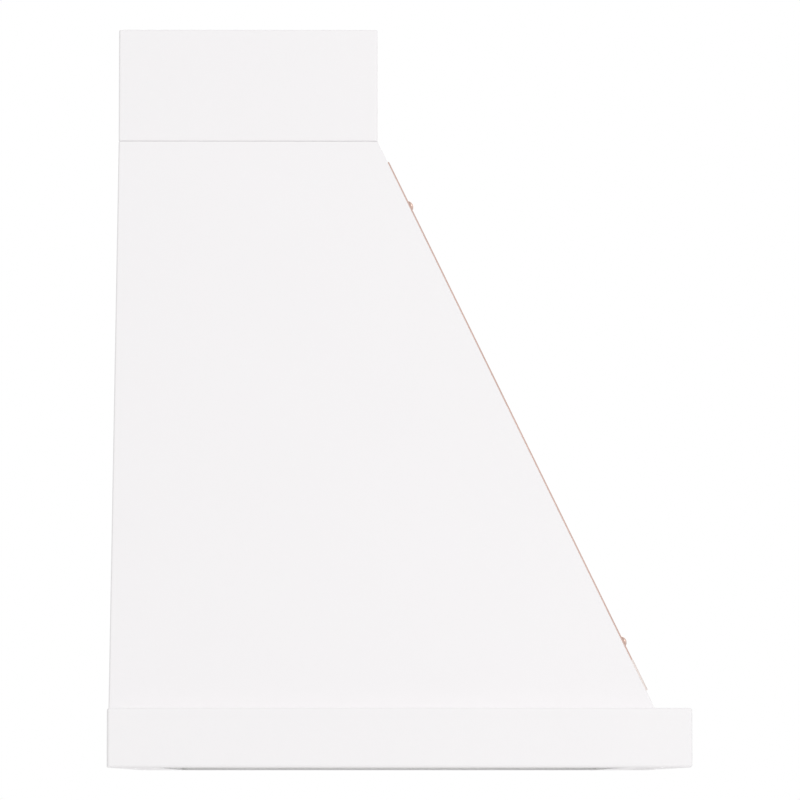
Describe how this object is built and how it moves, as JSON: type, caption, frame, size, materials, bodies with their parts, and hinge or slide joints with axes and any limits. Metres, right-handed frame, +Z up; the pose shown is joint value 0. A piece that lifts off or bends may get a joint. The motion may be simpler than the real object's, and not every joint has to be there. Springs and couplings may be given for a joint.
{
  "type": "range hood",
  "caption": "Wall range hood: white tapered canopy with copper straps on a flat apron, short chimney cover, hinged baffle filters, push buttons and a centrifugal blower.",
  "frame": {"origin": "on the wall plane, on the centre line, level with the underside of the apron", "axes": "+Z up, +Y into the wall, -Y the front, +X to the right for someone facing the hood"},
  "size_m": [0.9144, 0.6096, 0.8045],
  "materials": {
    "painted_white": "matte powder coat",
    "strap_copper": "satin brushed copper",
    "band_copper": "polished rose copper",
    "stainless": "brushed stainless steel",
    "galvanised": "zinc-coated sheet",
    "bright_steel": "bright zinc plate",
    "magnet": "nickelled magnet in a black case",
    "lamp_aluminium": "cast, bare",
    "lamp_lens": "frosted",
    "button_chrome": "satin plated",
    "black_plastic": "moulded, fine grain",
    "circuit_board": "solder mask",
    "motor_paint": "semi-gloss black",
    "capacitor_can": "moulded can"
  },
  "bodies": {
    "hood": {"apron_band": "painted_white", "canopy_shell": "painted_white", "chimney_cover": "painted_white", "back_panel": "painted_white", "left_strap": "strap_copper", "right_strap": "strap_copper", "strap_rivets": "strap_copper", "lower_band": "band_copper", "filter_liner": "stainless", "filter_crossbars": "stainless", "filter_rod": "stainless", "control_plate": "stainless", "blower_deck": "galvanised", "duct_collar": "galvanised", "outlet_transition": "galvanised", "blower_scroll": "galvanised", "left_inlet_ring": "galvanised", "right_inlet_ring": "galvanised", "motor_spider": "galvanised", "electrical_box": "galvanised", "electrical_box_lid": "galvanised", "capacitor_clip": "galvanised", "damper_pins": "bright_steel", "chimney_screws": "bright_steel", "canopy_screws": "bright_steel", "back_panel_screws": "bright_steel", "collar_screws": "bright_steel", "blower_screws": "bright_steel", "spider_screws": "bright_steel", "filter_catches": "magnet", "left_lamp_housing": "lamp_aluminium", "right_lamp_housing": "lamp_aluminium", "left_lamp_lens": "lamp_lens", "right_lamp_lens": "lamp_lens", "control_housing": "black_plastic", "cable_gland": "black_plastic", "switch_board": "circuit_board", "motor_body": "motor_paint", "capacitor": "capacitor_can"},
    "left_filter": {"left_filter_frame": "stainless", "left_filter_baffles": "stainless", "left_filter_handle": "stainless"},
    "centre_filter": {"centre_filter_frame": "stainless", "centre_filter_baffles": "stainless", "centre_filter_handle": "stainless"},
    "right_filter": {"right_filter_frame": "stainless", "right_filter_baffles": "stainless", "right_filter_handle": "stainless"},
    "power_button": {"power_button": "button_chrome"},
    "light_button": {"light_button": "button_chrome"},
    "low_speed_button": {"low_speed_button": "button_chrome"},
    "medium_speed_button": {"medium_speed_button": "button_chrome"},
    "high_speed_button": {"high_speed_button": "button_chrome"},
    "impeller": {"impeller": "galvanised", "motor_shaft": "bright_steel"},
    "front_damper": {"front_damper_flap": "galvanised"},
    "rear_damper": {"rear_damper_flap": "galvanised"}
  },
  "joints": [
    {"name": "left_filter_swing", "type": "hinge", "parent": "hood", "child": "left_filter", "pos_m": [0, -0.059, 0.034], "axis": [1, 0, 0], "range_deg": [0, 75]},
    {"name": "centre_filter_swing", "type": "hinge", "parent": "hood", "child": "centre_filter", "pos_m": [0, -0.059, 0.034], "axis": [1, 0, 0], "range_deg": [0, 75]},
    {"name": "right_filter_swing", "type": "hinge", "parent": "hood", "child": "right_filter", "pos_m": [0, -0.059, 0.034], "axis": [1, 0, 0], "range_deg": [0, 75]},
    {"name": "power_button_press", "type": "slide", "parent": "hood", "child": "power_button", "axis": [0, 0, 1], "range_m": [0, 0.0015], "stiffness_N_per_m": 400},
    {"name": "light_button_press", "type": "slide", "parent": "hood", "child": "light_button", "axis": [0, 0, 1], "range_m": [0, 0.0015], "stiffness_N_per_m": 400},
    {"name": "low_speed_button_press", "type": "slide", "parent": "hood", "child": "low_speed_button", "axis": [0, 0, 1], "range_m": [0, 0.0015], "stiffness_N_per_m": 400},
    {"name": "medium_speed_button_press", "type": "slide", "parent": "hood", "child": "medium_speed_button", "axis": [0, 0, 1], "range_m": [0, 0.0015], "stiffness_N_per_m": 400},
    {"name": "high_speed_button_press", "type": "slide", "parent": "hood", "child": "high_speed_button", "axis": [0, 0, 1], "range_m": [0, 0.0015], "stiffness_N_per_m": 400},
    {"name": "impeller_spin", "type": "hinge", "parent": "hood", "child": "impeller", "pos_m": [0, -0.231, 0.451], "axis": [1, 0, 0], "continuous": true},
    {"name": "front_damper_swing", "type": "hinge", "parent": "hood", "child": "front_damper", "pos_m": [0, -0.146, 0.6908], "axis": [-1, 0, 0], "range_deg": [0, 80]},
    {"name": "rear_damper_swing", "type": "hinge", "parent": "hood", "child": "rear_damper", "pos_m": [0, -0.136, 0.6908], "axis": [1, 0, 0], "range_deg": [0, 80]}
  ]
}
